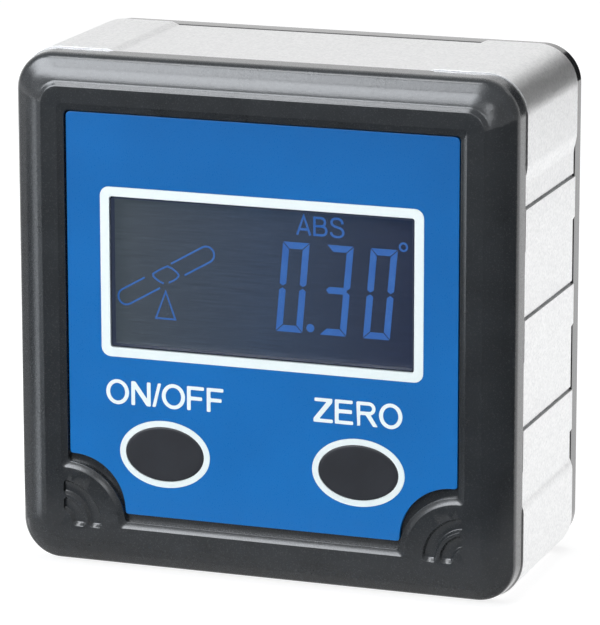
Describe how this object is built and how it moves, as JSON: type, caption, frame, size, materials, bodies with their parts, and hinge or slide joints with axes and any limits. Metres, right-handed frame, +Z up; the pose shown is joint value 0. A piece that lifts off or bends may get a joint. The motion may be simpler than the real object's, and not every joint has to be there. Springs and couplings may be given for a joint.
{
  "type": "digital level",
  "caption": "Square pocket inclinometer: aluminium frame, black bezel with blue faceplate, display and two oval keys, rear cover with sliding battery door.",
  "frame": {"origin": "centre of the base plane, under the middle of the body, with the base at Z 0", "axes": "+X to the right seen from the front, +Y from the front face to the rear cover, +Z up"},
  "size_m": [0.0554, 0.0244, 0.0554],
  "materials": {
    "bezel_moulding": "fine moulded texture, slight sheen",
    "cover_moulding": "fine moulded texture",
    "satin_aluminium": "fine blasted and clear anodised",
    "blue_film": "printed polyester film, satin",
    "white_ink": "printed white, satin",
    "clear_window": "clear, polished",
    "display_glass": "dark display cell with lit segments",
    "diffuser": "frosted",
    "connector_rubber": "matt",
    "key_caps": "smooth satin",
    "board_laminate": "solder mask",
    "chip_epoxy": "moulded epoxy",
    "plated_steel": "zinc or nickel plated",
    "cell_sleeve": "printed sleeve",
    "magnet_nickel": "nickel plated"
  },
  "bodies": {
    "case": {"base_magnet_1": "magnet_nickel", "base_magnet_2": "magnet_nickel", "battery_cell_1": "cell_sleeve", "battery_cell_2": "cell_sleeve", "board_screw_1": "plated_steel", "board_screw_2": "plated_steel", "board_screw_3": "plated_steel", "board_screw_4": "plated_steel", "bridge_contact": "plated_steel", "circuit_board": "board_laminate", "contact_spring_1": "plated_steel", "contact_spring_2": "plated_steel", "controller_chip": "chip_epoxy", "cover_screw_1": "plated_steel", "cover_screw_2": "plated_steel", "cover_screw_3": "plated_steel", "cover_screw_4": "plated_steel", "display_backlight": "diffuser", "display_connector_lower": "connector_rubber", "display_connector_upper": "connector_rubber", "display_panel": "display_glass", "display_window": "clear_window", "extruded_frame": "satin_aluminium", "face_label": "blue_film", "front_bezel": "bezel_moulding", "negative_contact": "plated_steel", "on_off_ring": "white_ink", "on_off_switch": "chip_epoxy", "positive_contact": "plated_steel", "rear_cover": "cover_moulding", "tilt_sensor": "chip_epoxy", "window_border": "white_ink", "zero_ring": "white_ink", "zero_switch": "chip_epoxy"},
    "on_off_button": {"on_off_key": "key_caps", "on_off_plunger": "diffuser"},
    "zero_button": {"zero_key": "key_caps", "zero_plunger": "diffuser"},
    "battery_door": {"battery_door": "cover_moulding"}
  },
  "joints": [
    {"name": "on_off_press", "type": "slide", "parent": "case", "child": "on_off_button", "axis": [0, 1, 0], "range_m": [0, 0.0004], "stiffness_N_per_m": 1500},
    {"name": "zero_press", "type": "slide", "parent": "case", "child": "zero_button", "axis": [0, 1, 0], "range_m": [0, 0.0004], "stiffness_N_per_m": 1500},
    {"name": "battery_door_slide", "type": "slide", "parent": "case", "child": "battery_door", "axis": [-1, 0, 0], "range_m": [0, 0.047]}
  ]
}
